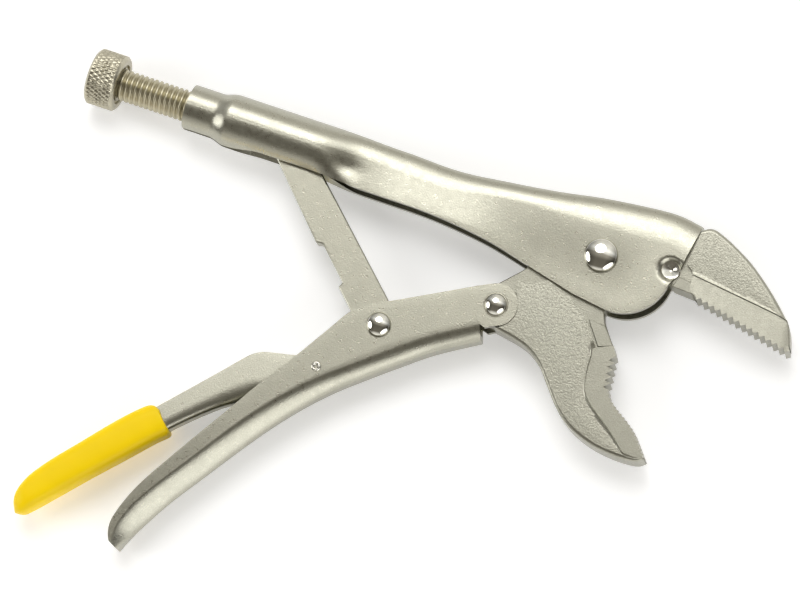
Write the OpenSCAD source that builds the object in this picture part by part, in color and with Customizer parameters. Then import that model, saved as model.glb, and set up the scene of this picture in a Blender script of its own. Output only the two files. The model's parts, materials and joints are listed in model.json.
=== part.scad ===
// Locking pliers in the open position, lying flat on one side.
// +X runs along the adjusting screw towards the jaws, +Z is the thickness of the tool.
// Every outline is drawn from the jaw pivot, and place() then moves it to the row's origin,
// the middle of the open tool's footprint.

/* [Linkage] */
// How far the link's head lies behind the jaw pivot, along the screw
link_head_x = 101; // [99:0.5:104]
// Height of the screw's axis above the jaw pivot
screw_y = 3.8; // [3.4:0.1:4.2]
// How far the handle rivet lies behind the jaw pivot
handle_pin_x = 24; // [23.5:0.1:24.5]
// How far the handle rivet lies below the jaw pivot
handle_pin_y = 23.7; // [23.2:0.1:24.2]
// How far the link rivet lies behind the jaw pivot
link_pin_x = 54.4; // [53.5:0.1:55.5]
// How far the link rivet lies below the jaw pivot
link_pin_y = 40.3; // [39.5:0.1:41]

/* [Pressed handles] */
// Thickness of the steel sheet
sheet_t = 2; // [1.5:0.1:2.5]
// Outside width of both handles at the jaws
handle_w = 11.6; // [10.4:0.2:14.6]
// Length of the lower handle from the link rivet to its tip
grip_l = 100; // [80:1:125]
// Radius of the lower handle's two ears round the handle rivet
ear_r = 6.35; // [5.6:0.05:7]

/* [Barrel] */
// Distance from the jaw pivot back to the end of the collar
body_l = 131.5; // [127:0.5:165]
// Outside diameter of the barrel
barrel_d = 16.2; // [15:0.2:17.4]
// Outside diameter of the necked collar
collar_d = 13.8; // [13:0.2:15]
// Length of the necked collar
collar_l = 10.5; // [8:0.5:14]
// How far forward the round barrel reaches, measured back from the jaw pivot
barrel_end = 78; // [70:1:84]

/* [Adjusting screw] */
// Outside diameter of the thread
screw_d = 9.525; // [7.9:0.005:10.5]
// Length of thread between the collar and the knob
thread_out = 21.9; // [14:0.1:26]
// Free length between the screw's tip and the link's head
head_gap = 3.8; // [3.6:0.1:5]
// Diameter of the knob
knob_d = 17; // [15:0.2:20.4]
// Length of the knob
knob_l = 9.2; // [7:0.2:12]

/* [Jaws] */
// Thickness of both jaws outside the handles
jaw_w = 11; // [10:0.2:14]
// How far the fixed jaw's tip reaches ahead of the jaw pivot
jaw_reach = 61; // [55:0.5:73]
// Number of teeth on the fixed jaw
fixed_teeth = 15; // [10:1:20]
// Depth of the fine teeth
tooth_h = 1.1; // [0.6:0.1:1.4]
// Number of coarse teeth in the movable jaw's throat
coarse_teeth = 5; // [3:1:7]
// Depth of the coarse teeth
coarse_h = 1.8; // [1:0.1:2.2]

/* [Link and release lever] */
// Height of the link's flat plate
link_h = 11.4; // [10:0.2:12.4]
// Thickness of the link's plate
link_t = 5; // [3:0.2:6.4]
// Radius of the link's rounded head
head_r = 4.8; // [4:0.1:5.2]
// Thickness of the release lever's sheet
lever_sheet = 1.5; // [1:0.1:2]
// Wall of the vinyl sleeve
sleeve_wall = 1.8; // [1:0.1:2.4]

/* [Rivets] */
// Diameter of the jaw pivot rivet's shank
pivot_d = 6; // [5:0.2:7.4]
// Diameter of its domed heads
pivot_head_d = 10; // [8.4:0.2:12]
// Height of its domed heads
pivot_head_h = 2.6; // [1.4:0.1:2.6]
// Diameter of the handle and link rivets' shanks
rivet_d = 4.6; // [3.8:0.2:5.6]
// Diameter of their domed heads
rivet_head_d = 7.3; // [6:0.1:8.8]
// Height of their domed heads
rivet_head_h = 2.4; // [1.2:0.1:2.5]
// Diameter of the staked plug that holds the fixed jaw
plug_d = 5.6; // [4.6:0.2:6.4]
// Diameter of the release lever's small rivet
lever_pin_d = 2; // [1.6:0.1:2.6]

/* [Clearances] */
// Side clearance of a plate that moves between two walls
side_gap = 0.3; // [0.3:0.05:0.5]
// Radial clearance of a rivet in the piece that turns on it, and of the screw in the collar
pin_gap = 0.05; // [0.02:0.01:0.1]
// Clearance round the ears, and along the edges of the handle that the jaw passes
edge_gap = 0.5; // [0.4:0.05:0.7]

/* [Return spring] */
// Diameter of the spring's wire
wire_d = 0.9; // [0.6:0.1:1.1]
// Mean radius of the spring's coil
coil_r = 1.9; // [1.7:0.1:2.1]
// Number of turns
coil_turns = 16; // [8:1:20]

/* [Hidden] */

$fn = 64;
cut = 1;        // how far a cutter runs past the face that it cuts
far = 60;       // longer than any opening is deep
smooth = 4;     // pieces in each span of a smooth outline

// Widths across the tool
inner_w = handle_w - 2 * sheet_t;
tang_w = inner_w - 2 * side_gap;
bore_d = barrel_d - 2 * sheet_t;

// Pivots, from the jaw pivot
pivot = [0, 0];
handle_pin = [-handle_pin_x, -handle_pin_y];
link_pin = [-link_pin_x, -link_pin_y];
link_head = [-link_head_x, screw_y];
lever_pin = link_pin + [-13.1, -17.6];
lever_head_lip = 1.1;
lever_head_h = 0.6;
plug_at = [20.5, 2.6];

// Middle of the footprint, from the jaw pivot, and the height of the tool's middle plane
footprint_mid = [-50.8, -54.2];
mid_z = knob_d / 2;

// Stations along the screw
collar_x = -body_l;
barrel_x = collar_x + collar_l;
knob_x = collar_x - thread_out - knob_l;
tip_x = link_head.x - head_r - head_gap;

function unit(v) = v / norm(v);
function left_of(v) = [-v.y, v.x];
function along(deg) = [cos(deg), sin(deg)];

// Points of an arc from angle a to angle b
function arc(c, r, a, b, n) = [for (i = [0:n]) c + r * along(a + (b - a) * i / n)];

// Smooth curve through the points p: each span is a cubic whose slope at a point
// is half the step between its two neighbours
function knot(p, i) = p[max(0, min(len(p) - 1, i))];
function blend(a, b, c, d, t) =
    0.5 * (2 * b + (c - a) * t + (2 * a - 5 * b + 4 * c - d) * t * t
           + (3 * b - a - 3 * c + d) * t * t * t);
function curve(p, n = smooth) =
    [for (i = [0:len(p) - 2], k = [0:n - 1])
        blend(knot(p, i - 1), p[i], p[i + 1], knot(p, i + 2), k / n),
     p[len(p) - 1]];

// An open line of points moved t to its left
function moved(p, t) =
    [for (i = [0:len(p) - 1]) p[i] + t * left_of(unit(knot(p, i + 1) - knot(p, i - 1)))];

// Saw teeth along the line of points p, one tooth to a step, standing out to the right;
// lean moves the crests along the step
function teeth(p, h, lean = 0.5) =
    [for (i = [0:len(p) - 2], s = [0, 1])
        let (step = p[i + 1] - p[i])
        s == 0 ? p[i] : p[i] + lean * step - h * left_of(unit(step))];

// n + 1 points evenly spaced on a straight line
function spaced(a, b, n) = [for (i = [0:n]) a + (b - a) * i / n];

// Moves a drawing from the jaw pivot's frame to the row's origin
module place() {
    translate([-footprint_mid.x, -footprint_mid.y, mid_z]) children();
}

// Extrudes a side view to width w about the middle plane
module slab(w) {
    translate([0, 0, -w / 2]) linear_extrude(w) children();
}

// Cylinder across the tool at the side view's point p
module cross_pin(p, d, w) {
    translate([p.x, p.y, -w / 2]) cylinder(d = d, h = w);
}

// Cylinder on the screw's axis from x to x + l
module on_screw(x, d, l) {
    translate([x, screw_y, 0]) rotate([0, 90, 0]) cylinder(d = d, h = l);
}

// Rivet across a width w with a domed head outside each wall
module rivet(p, d, w, head_d, head_h) {
    rim = head_h / 4;
    translate([p.x, p.y, 0]) {
        cylinder(d = d, h = w, center = true);
        for (side = [0, 1])
            mirror([0, 0, side]) translate([0, 0, w / 2]) rotate_extrude()
                polygon([[0, 0], [head_d / 2, 0],
                    for (a = [0:15:90])
                        [head_d / 2 * cos(a), rim + (head_h - rim) * sin(a)]]);
    }
}

// ---- Upper handle: folded channel in front, rolled barrel and necked collar behind ----

// The channel's back and lower edge rise out of the barrel where its corners would show
hidden_h = sqrt(pow(barrel_d / 2, 2) - pow(handle_w / 2, 2)) - 0.1;
channel_x = -barrel_end - 6;
top_edge = curve([[channel_x, screw_y + hidden_h], [-barrel_end + 4, screw_y + barrel_d / 2 - 1.2],
                  [-62, 11.2], [-48, 10.9], [-33, 12.5], [-19, 14.4], [-5, 16.9],
                  [10, 18.7], [18, 19], [25.1, 17.9]]);
belly_c = [7.5, -0.8];
belly_r = 14;
bottom_edge = concat(
    [[25.1, 17.9], [23, 2.8]],
    arc(belly_c, belly_r, -5, -95, 15),
    curve([[-4.2, -13.3], [-19.8, -9.6], [-34.5, -6.3], [-52, -4.4], [-barrel_end + 8, -4.2],
           [channel_x, screw_y - hidden_h]]));

// Side view of the channel
module channel_side() {
    polygon(concat(top_edge, bottom_edge));
}

// Space inside the channel, open below and in front
module channel_inside() {
    polygon(concat(
        moved(top_edge, -sheet_t),
        [[far, 17.9 - sheet_t], [far, -far], [channel_x, -far]]));
}

// Lanced tab under the handle's back that the return spring hooks on to
spring_anchor = [-54, 3.6];
tab_t = 2;
tab_r = 2.6;
tab_root_y = 11.1 - sheet_t / 2;
module anchor_tab() {
    slab(tab_t) {
        translate(spring_anchor) circle(r = tab_r);
        translate([spring_anchor.x - tab_r, spring_anchor.y])
            square([2 * tab_r, tab_root_y - spring_anchor.y]);
    }
}

// Where the barrel's lower slot begins, and the length of the cone into the channel
slot_x = barrel_x + 6;
shoulder_l = 16;

module upper_handle() {
    color([0.78, 0.77, 0.71]) place() difference() {
        union() {
            difference() {
                union() {
                    slab(handle_w) channel_side();
                    on_screw(barrel_x, barrel_d, -barrel_x - barrel_end);
                    on_screw(collar_x, collar_d, collar_l + cut);
                    translate([-barrel_end, screw_y, 0]) rotate([0, 90, 0])
                        cylinder(d1 = barrel_d, d2 = handle_w, h = shoulder_l);
                }
                slab(inner_w) channel_inside();
                on_screw(barrel_x + sheet_t, bore_d, -barrel_x - barrel_end);
                translate([slot_x, screw_y - far, -inner_w / 2])
                    cube([-slot_x, far, inner_w]);
            }
            anchor_tab();
        }
        on_screw(collar_x - cut, screw_d + 2 * pin_gap, collar_l + sheet_t + 2 * cut);
        cross_pin(pivot, pivot_d, handle_w + cut);
        cross_pin(plug_at, plug_d, handle_w + cut);
        cross_pin(spring_anchor, hook_hole_d, tab_t + cut);
    }
}

// ---- Fixed jaw, with a tang between the channel's walls ----

jaw_root = [29.6, -2];
jaw_tip = [jaw_reach, -8.9];
module fixed_jaw_side() {
    reach = jaw_reach - 61;
    polygon(concat(
        curve([[25.4, 17.9], [28, 18.2], [32, 17], [37, 14.7], [43 + reach / 2, 11.3],
               [50 + reach, 6], [55.5 + reach, 1], [59 + reach, -3], jaw_tip]),
        teeth(spaced(jaw_tip, jaw_root, fixed_teeth), -tooth_h),
        [jaw_root, [27.5, -1.1], [27.2, 3.2], [24.4, 5.4]]));
}

module fixed_tang_side() {
    intersection() {
        channel_inside();
        polygon([[13.5, 30], [13.5, 3], [15.5, -1.4], [22.4, -1.8], [28.5, -2.2],
                 [30, 3], [29, 16], [24, 30]]);
    }
}

module fixed_jaw() {
    color([0.74, 0.73, 0.68]) place() difference() {
        union() {
            slab(inner_w) fixed_tang_side();
            slab(jaw_w) fixed_jaw_side();
        }
        cross_pin(plug_at, plug_d, handle_w + cut);
    }
}

// Staked plug through both walls and the tang, with a dished end on each side
dish = 1.2;
module fixed_jaw_plug() {
    color([0.85, 0.82, 0.7]) place() difference() {
        cross_pin(plug_at, plug_d, handle_w);
        for (side = [0, 1])
            mirror([0, 0, side])
                translate([plug_at.x, plug_at.y, handle_w / 2 - dish])
                    cylinder(d1 = plug_d / 4, d2 = plug_d * 0.8, h = dish);
    }
}

module jaw_pivot_rivet() {
    color([0.9, 0.9, 0.87]) place()
        rivet(pivot, pivot_d, handle_w, pivot_head_d, pivot_head_h);
}

// ---- Movable jaw: thick jaw plate, thin tang between the walls, hook lug for the spring ----

hub_r = 11;
lug_r = 6;
hook_at = [-16.5, -3.5];
hook_lug_t = 2.6;
hook_hole_d = wire_d + 1;
lug_recess_at = hook_at + [-8, -3.4];
lug_recess = [11, 8];

throat = [14.1, -26.6];
throat_end = [15.4, -36.6];
jaw_back = curve([[-22.6, -30.6], [-14, -31.9], [-9.6, -33.8], [-5.7, -36.9], [-2, -41.2],
                  [2.4, -46.2], [6.7, -49.7], [11, -51.9], [16.7, -53.6], [23.4, -54.3],
                  [29.4, -53.9], [32.1, -52.1]]);
jaw_mouth = curve([[32.1, -52.1], [29.9, -49.4], [27, -46.1], [23.5, -43.4], [19.5, -40.9],
                   [16.8, -38.8], throat_end]);

module jaw_plate_side() {
    difference() {
        polygon(concat(
            jaw_back,
            teeth(jaw_mouth, -tooth_h * 0.5),
            teeth(spaced(throat_end, throat, coarse_teeth), -coarse_h, 0.25),
            [throat, [12.4, -23.9], [7.6, -26.1], [1.3, -18], [-2.6, -15.7], [-5, -14.1],
             [-12.2, -11.9], [-14.6, -13.3], [-17.4, -14.1], [-20.2, -13.7],
             [-20.2, -23.7]]));
        translate(handle_pin) circle(r = ear_r + edge_gap);
    }
}

module jaw_tang_side() {
    circle(r = hub_r);
    translate(handle_pin) circle(r = lug_r);
    polygon([[0, 0], [-9, 6], [-13, 0], [-20.2, -11], [-29, -20], handle_pin,
             [-22.6, -29.4], [-14, -30], [12, -30], [14.1, -26.6], [12.4, -23.9],
             [7.4, -17.9], [5.9, -15.7], [9, -6]]);
}

module movable_jaw() {
    color([0.74, 0.73, 0.68]) place() difference() {
        union() {
            slab(tang_w) jaw_tang_side();
            slab(jaw_w) jaw_plate_side();
        }
        // the tang is thinned to a lug where the spring hooks on
        for (side = [0, 1])
            mirror([0, 0, side])
                translate([lug_recess_at.x, lug_recess_at.y, hook_lug_t / 2])
                    cube([lug_recess.x, lug_recess.y, tang_w]);
        cross_pin(hook_at, hook_hole_d, tang_w + cut);
        cross_pin(pivot, pivot_d + 2 * pin_gap, jaw_w + cut);
        cross_pin(handle_pin, rivet_d, jaw_w + cut);
    }
}

module handle_rivet() {
    color([0.9, 0.9, 0.87]) place()
        rivet(handle_pin, rivet_d, handle_w + 2 * pin_gap, rivet_head_d, rivet_head_h);
}

// ---- Lower handle: folded channel, closed below, that ends in a rounded trough ----

// Stretches a point of the grip along the grip so that the tip comes at grip_l
grip_way = unit([-50, -86.6]);
grip_drawn = 100;
function gripped(p) = p + max(0, (p - link_pin) * grip_way) * (grip_l / grip_drawn - 1) * grip_way;

lower_top = [for (p = curve([
    handle_pin + ear_r * along(118), [-42.5, -26.5], [-53.6, -32.6], [-59.7, -35.9],
    [-64, -39.8], [-68.1, -46.6], [-74.3, -56.9], [-80.9, -67], [-87.1, -77.6],
    [-93.5, -88.2], [-99.8, -98.9], [-104.4, -107.3], [-107.3, -114.5], [-108.6, -120],
    [-107.8, -125], [-104.5, -127.4]])) gripped(p)];
lower_back = [for (p = curve([
    [-104.5, -127.4], [-101.2, -120.6], [-95.4, -109.9], [-88.7, -99.6], [-82, -89.3],
    [-75.2, -79.4], [-68.1, -70.4], [-61, -62.8], [-53.4, -56], [-45.6, -49.4],
    [-36.9, -42.4], [-25, -34.8]])) gripped(p)];

module lower_side() {
    translate(handle_pin) circle(r = ear_r);
    polygon(concat(lower_top, lower_back,
                   [[-26, -31.3], handle_pin + ear_r * along(-62), handle_pin]));
}

module lower_inside() {
    polygon(concat(
        [[-160, -170]],
        moved(lower_back, sheet_t),
        [[-16, -40], [far, far], [-160, far]]));
}

module lower_handle() {
    color([0.78, 0.77, 0.71]) place() difference() {
        slab(handle_w) lower_side();
        slab(inner_w) lower_inside();
        cross_pin(handle_pin, rivet_d + 2 * pin_gap, handle_w + cut);
        cross_pin(link_pin, rivet_d, handle_w + cut);
        cross_pin(lever_pin, lever_pin_d, handle_w + cut);
    }
}

module link_rivet() {
    color([0.9, 0.9, 0.87]) place()
        rivet(link_pin, rivet_d, handle_w, rivet_head_d, rivet_head_h);
}

module lever_rivet() {
    color([0.85, 0.82, 0.7]) place()
        rivet(lever_pin, lever_pin_d, handle_w, lever_pin_d + lever_head_lip, lever_head_h);
}

// ---- Link: flat plate from the link rivet to the screw's tip ----

link_l = norm(link_head - link_pin);
link_turn = atan2(link_head.y - link_pin.y, link_head.x - link_pin.x);

// Shallow relief in the link's upper edge, from and to, along the link
relief = [17, 29.5];
relief_h = 1.6;
relief_r = 1;

module link_side() {
    half = link_h / 2;
    difference() {
        union() {
            circle(r = half);
            translate([0, -half]) square([link_l - 2 * head_r, link_h]);
            translate([link_l, 0]) circle(r = head_r);
            polygon([[link_l - 2 * head_r, half], [link_l - 2 * head_r, -half],
                     [link_l, -head_r], [link_l, head_r]]);
        }
        translate([relief[0], half - relief_h])
            square([relief[1] - relief[0], relief_h + cut]);
        translate([relief[1], half - relief_h]) circle(r = relief_r);
    }
}

module link() {
    color([0.76, 0.75, 0.69]) place() difference() {
        translate(link_pin) rotate(link_turn) slab(link_t) link_side();
        cross_pin(link_pin, rivet_d + 2 * pin_gap, link_t + cut);
    }
}

// ---- Release lever: small folded channel in the lower handle, dipped in vinyl ----

lever_w = tang_w;
lever_boss_r = 4;
lever_top = [[-75.4, -56.5], [-80.4, -57.6], [-84.4, -58.6], [-87.2, -60.3],
             [-89.8, -63], [-95.3, -69.4], [-102.3, -77.3], [-108.6, -84.4]];
lever_low = [[-102.2, -88.6], [-97, -83.4], [-91.4, -78.4], [-86.2, -74.6],
             [-78, -68.6], [-70, -61.4]];
sleeve_end = [-137.6, -125.6];

function lever_tail() = [[-133.6, -113.6], [-136.8, -118.6], [-137.2, -122.6],
                         [-135.6, -124.6], [-132.8, -122.6]];

module lever_side() {
    translate(lever_pin) circle(r = lever_boss_r);
    polygon(concat([lever_pin + lever_boss_r * along(95)], curve(lever_top),
                   curve(lever_tail()), curve(lever_low),
                   [lever_pin + lever_boss_r * along(-45)]));
}

module release_lever() {
    fold = unit([-0.743, 0.67]) * lever_sheet;
    color([0.76, 0.75, 0.69]) place() difference() {
        slab(lever_w) lever_side();
        translate(fold) slab(lever_w - 2 * lever_sheet) lever_side();
        cross_pin(lever_pin, lever_pin_d + 2 * pin_gap, lever_w + cut);
    }
}

module sleeve_side() {
    polygon(concat(
        curve([[-109.8, -83], [-113, -85.6], [-118.7, -92], [-127, -102], [-133, -109.3],
               [-137.4, -115.6], [-139.2, -121], [-139, -125.4], [-137, -127.4],
               [-134.4, -126.2], [-128.4, -119.6], [-120, -110], [-111.4, -100.5],
               [-105.6, -94], [-101.3, -89]]),
        [[-105, -86.4]]));
}

module lever_sleeve() {
    color([0.98, 0.83, 0.03]) place() difference() {
        slab(lever_w + 2 * sleeve_wall) sleeve_side();
        slab(lever_w) lever_side();
    }
}

// ---- Adjusting screw and its pressed-on knob ----

// The screw's spigot inside the knob, the chamfer on its tip and the knob's rims
spigot_d = screw_d - 1.5;
spigot_l = knob_l - 2;
chamfer = 1;
rim = 1;

module adjusting_screw() {
    color([0.72, 0.66, 0.5]) place() {
        on_screw(knob_x + knob_l - spigot_l, spigot_d, spigot_l);
        on_screw(knob_x + knob_l, screw_d, tip_x - chamfer - knob_x - knob_l);
        translate([tip_x - chamfer, screw_y, 0]) rotate([0, 90, 0])
            cylinder(d1 = screw_d, d2 = screw_d - 2 * chamfer, h = chamfer);
    }
}

module adjusting_knob() {
    color([0.7, 0.67, 0.58]) place() difference() {
        union() {
            on_screw(knob_x + rim, knob_d, knob_l - 2 * rim);
            on_screw(knob_x, knob_d - 2 * rim, knob_l);
        }
        on_screw(knob_x + knob_l - spigot_l, spigot_d + 2 * pin_gap, spigot_l + cut);
    }
}

// ---- Return spring: close-wound coil with a loop at each end ----

loop_r = coil_r;
spring_way = spring_anchor - hook_at;
spring_l = norm(spring_way);
lead = 1.2 * coil_r;                    // reach of the half turn between loop and coil
coil_x = loop_r + lead;
coil_l = spring_l - 2 * coil_x;
turn_steps = 10;

// Path from the jaw's hook to the anchor, along X: [point, outward direction]
function loop_point(a) = [[loop_r - loop_r * cos(a), 0, loop_r * sin(a)], [-cos(a), 0, sin(a)]];
function coil_point(t, x) =
    [[x, coil_r * sin(t), coil_r * cos(t)], [0, sin(t), cos(t)]];
function turned_back(s) = [[spring_l - s[0].x, -s[0].y, s[0].z], [-s[1].x, -s[1].y, s[1].z]];

first_end = concat(
    [for (a = [-120:24:72]) loop_point(a)],
    [for (t = [0:36:144]) coil_point(t, loop_r + lead * sin(t / 2))]);
coil = [for (i = [0:turn_steps * coil_turns])
    coil_point(180 + 360 * i / turn_steps, coil_x + coil_l * i / (turn_steps * coil_turns))];
spring_path = concat(
    first_end, coil,
    [for (i = [len(first_end) - 1:-1:0]) turned_back(first_end[i])]);

// Ring of the wire round point i of the path
wire_sides = 6;
function wire_ring(path, i) =
    let (ahead = unit(path[min(len(path) - 1, i + 1)][0] - path[max(0, i - 1)][0]),
         out = unit(path[i][1] - (path[i][1] * ahead) * ahead),
         side = cross(ahead, out))
    [for (k = [0:wire_sides - 1])
        path[i][0] + wire_d / 2 * (cos(360 * k / wire_sides) * out
                                   + sin(360 * k / wire_sides) * side)];

module wire(path) {
    n = len(path);
    m = wire_sides;
    polyhedron(
        points = [for (i = [0:n - 1]) each wire_ring(path, i)],
        faces = concat(
            [[for (k = [0:m - 1]) k]],
            [for (i = [0:n - 2], k = [0:m - 1])
                let (here = i * m + k, beside = i * m + (k + 1) % m)
                each [[here, here + m, beside + m], [here, beside + m, beside]]],
            [[for (k = [m - 1:-1:0]) (n - 1) * m + k]]));
}

module return_spring() {
    color([0.55, 0.55, 0.52]) place()
        translate(hook_at) rotate(atan2(spring_way.y, spring_way.x)) wire(spring_path);
}

upper_handle();
fixed_jaw();
fixed_jaw_plug();
jaw_pivot_rivet();
return_spring();
movable_jaw();
handle_rivet();
lower_handle();
link_rivet();
lever_rivet();
link();
release_lever();
lever_sleeve();
adjusting_screw();
adjusting_knob();
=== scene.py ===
"""Locking pliers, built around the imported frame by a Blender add-on that runs as a script.

Outlines are drawn in millimetres from the jaw pivot, with X along the adjusting screw towards
the jaws and Z across the tool; placed() turns them into metres in the frame's own axes.
"""
import json
import math

import bmesh
import bpy
import numpy as np
from bpy.props import FloatProperty, FloatVectorProperty, IntProperty, PointerProperty
from mathutils import Matrix


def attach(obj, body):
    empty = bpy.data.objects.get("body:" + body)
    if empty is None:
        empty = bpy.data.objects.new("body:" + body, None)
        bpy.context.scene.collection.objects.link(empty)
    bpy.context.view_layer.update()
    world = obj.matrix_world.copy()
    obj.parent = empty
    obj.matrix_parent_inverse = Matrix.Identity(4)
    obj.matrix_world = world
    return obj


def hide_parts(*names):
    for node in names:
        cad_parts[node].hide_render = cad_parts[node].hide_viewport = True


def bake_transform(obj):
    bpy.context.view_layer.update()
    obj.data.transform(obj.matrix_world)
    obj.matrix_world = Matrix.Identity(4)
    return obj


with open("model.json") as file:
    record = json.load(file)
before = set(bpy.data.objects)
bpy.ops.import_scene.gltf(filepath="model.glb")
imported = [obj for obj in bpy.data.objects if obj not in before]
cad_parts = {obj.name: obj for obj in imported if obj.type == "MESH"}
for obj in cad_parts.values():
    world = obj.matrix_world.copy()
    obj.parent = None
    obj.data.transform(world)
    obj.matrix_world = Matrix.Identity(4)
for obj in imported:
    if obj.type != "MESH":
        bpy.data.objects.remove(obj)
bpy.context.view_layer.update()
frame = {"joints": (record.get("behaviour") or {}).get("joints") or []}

bl_info = {
    "name": "Locking Pliers",
    "version": (1, 0, 0),
    "blender": (4, 5, 0),
    "location": "View3D > Sidebar > Pliers",
    "description": "Builds a pair of locking pliers around their mechanical frame",
    "category": "Add Mesh",
}

MM = 0.001
join = np.concatenate
HINGES = {j["name"]: np.array(j["pos_m"]) for j in frame["joints"] if "pos_m" in j}
ORIGIN = HINGES["jaw_pivot"]
PIVOT = np.zeros(2)
HANDLE_PIN = ((HINGES["handle_pivot"] - ORIGIN) / MM)[:2]
LINK_PIN = ((HINGES["link_pivot"] - ORIGIN) / MM)[:2]
LEVER_PIN = ((HINGES["lever_pivot"] - ORIGIN) / MM)[:2]
SCREW_Y = float((HINGES["knob_turn"] - ORIGIN)[1] / MM)
PLUG_AT = np.array([20.5, 2.6])


# ---------------------------------------------------------------- sizes and finishes

def length_field(name, description, default, low, high):
    """A length property, given in millimetres and kept in metres."""
    return FloatProperty(name=name, description=description, default=default * MM,
                         min=low * MM, max=high * MM, unit="LENGTH")


def colour_field(name, description, default):
    return FloatVectorProperty(name=name, description=description, subtype="COLOR", size=3,
                               min=0, max=1, default=default)


class PliersSizes(bpy.types.PropertyGroup):
    """Sizes of the details that the frame leaves plain."""
    sheet: length_field("Sheet", "Thickness of the pressed handles", 2.0, 1.0, 2.3)
    corner: length_field("Fold radius", "Outside radius of the upper handle's folds",
                         3.6, 2.4, 5.0)
    edge: length_field("Edge round", "Rounding of cut sheet edges", 0.3, 0.05, 0.6)
    rim: length_field("Jaw rim", "Width of the rounded rim along the fixed jaw's back",
                      1.3, 0.5, 2.0)
    tooth: length_field("Fine teeth", "Depth of the fixed jaw's teeth", 1.1, 0.3, 1.1)
    pitch: length_field("Thread pitch", "Distance between turns of the thread",
                        1.5875, 1.0, 2.5)
    knurls: IntProperty(
        name="Knurl lines", description="Knurl lines that cross the knob each way",
        default=38, min=20, max=70)
    coils: IntProperty(
        name="Spring turns", description="Turns of the return spring", default=22,
        min=8, max=32)


class PliersFinish(bpy.types.PropertyGroup):
    """Colours and roughness of the finishes."""
    nickel: colour_field("Satin nickel", "Colour of the pressed sheet", (0.475, 0.465, 0.385))
    steel: colour_field("Forged steel", "Colour of the jaws", (0.425, 0.416, 0.347))
    rivet: colour_field("Rivet", "Colour of the polished rivets", (0.74, 0.73, 0.655))
    thread: colour_field("Thread", "Colour of the adjusting screw", (0.56, 0.515, 0.37))
    knob: colour_field("Knob", "Colour of the knurled knob", (0.55, 0.515, 0.40))
    vinyl: colour_field("Vinyl", "Colour of the dipped sleeve", (1.0, 0.70, 0.0))
    spring: colour_field("Spring", "Colour of the return spring", (0.35, 0.35, 0.34))
    roughness: FloatProperty(
        name="Sheet roughness", description="Roughness of the satin nickel",
        default=0.30, min=0.05, max=0.8, subtype="FACTOR")


def sizes():
    return bpy.context.scene.pliers_sizes


def finish():
    return bpy.context.scene.pliers_finish


# ---------------------------------------------------------------- curves

def curved(knots, u):
    """Cubic through the knots at u = 0, 1, 2 and so on, whose slope at a knot is half the
    step between its two neighbours."""
    k = np.asarray(knots, float)
    i = np.clip(np.floor(u).astype(int), 0, len(k) - 2)
    t = (u - i)[:, None]
    a, b = k[np.maximum(i - 1, 0)], k[i]
    c, d = k[i + 1], k[np.minimum(i + 2, len(k) - 1)]
    return 0.5 * (2 * b + (c - a) * t + (2 * a - 5 * b + 4 * c - d) * t ** 2
                  + (3 * b - a - 3 * c + d) * t ** 3)


def smooth_line(knots, pieces=12):
    """The curved() line through the knots, as points, some pieces to a span."""
    return curved(knots, np.linspace(0, len(knots) - 1, (len(knots) - 1) * pieces + 1))


def run_lengths(points):
    """How far along the straight-edged line each of its points lies."""
    steps = np.linalg.norm(np.diff(points, axis=0), axis=1)
    return join([[0], np.cumsum(steps)])


def along(points, t):
    """Points at the fractions t of the length of the straight-edged line through points."""
    p = np.asarray(points, float)
    s = run_lengths(p)
    t = np.asarray(t) * s[-1]
    return np.stack([np.interp(t, s, p[:, k]) for k in range(p.shape[1])], -1)


def between(knots, u):
    """Straight lines through the knots at u = 0, 1, 2 and so on."""
    return np.stack([np.interp(u, np.arange(len(knots)), knots[:, k])
                     for k in range(knots.shape[1])], -1)


def turns(n):
    """n angles spread evenly over a full turn."""
    return np.arange(n) * 2 * np.pi / n


def arc(centre, radius, start, end, n):
    """n points of an arc: centre plus radius times (cos, sin) of an angle in degrees."""
    a = np.radians(np.linspace(start, end, n))
    return np.asarray(centre) + radius * np.stack([np.cos(a), np.sin(a)], -1)


def lerp(a, b, t):
    return a + (b - a) * t


def ease(x, start, end):
    """0 before start, 1 after end, and 3t^2 - 2t^3 between."""
    t = np.clip((x - start) / (end - start), 0, 1)
    return t * t * (3 - 2 * t)


def unit(v):
    return v / np.linalg.norm(v, axis=-1, keepdims=True)


# ---------------------------------------------------------------- meshes

def grid_faces(rows, columns, close_rows=False, close_columns=False, first=0):
    """Four-sided faces of a grid of rows x columns points, numbered row by row."""
    r = np.arange(rows if close_rows else rows - 1)
    c = np.arange(columns if close_columns else columns - 1)
    r, c = [g.ravel() for g in np.meshgrid(r, c, indexing="ij")]
    r2, c2 = (r + 1) % rows, (c + 1) % columns
    return first + np.stack([r * columns + c, r2 * columns + c,
                             r2 * columns + c2, r * columns + c2], -1)


def placed(points):
    """Millimetres from the jaw pivot, as metres in the frame's axes."""
    return points * MM + ORIGIN


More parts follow.
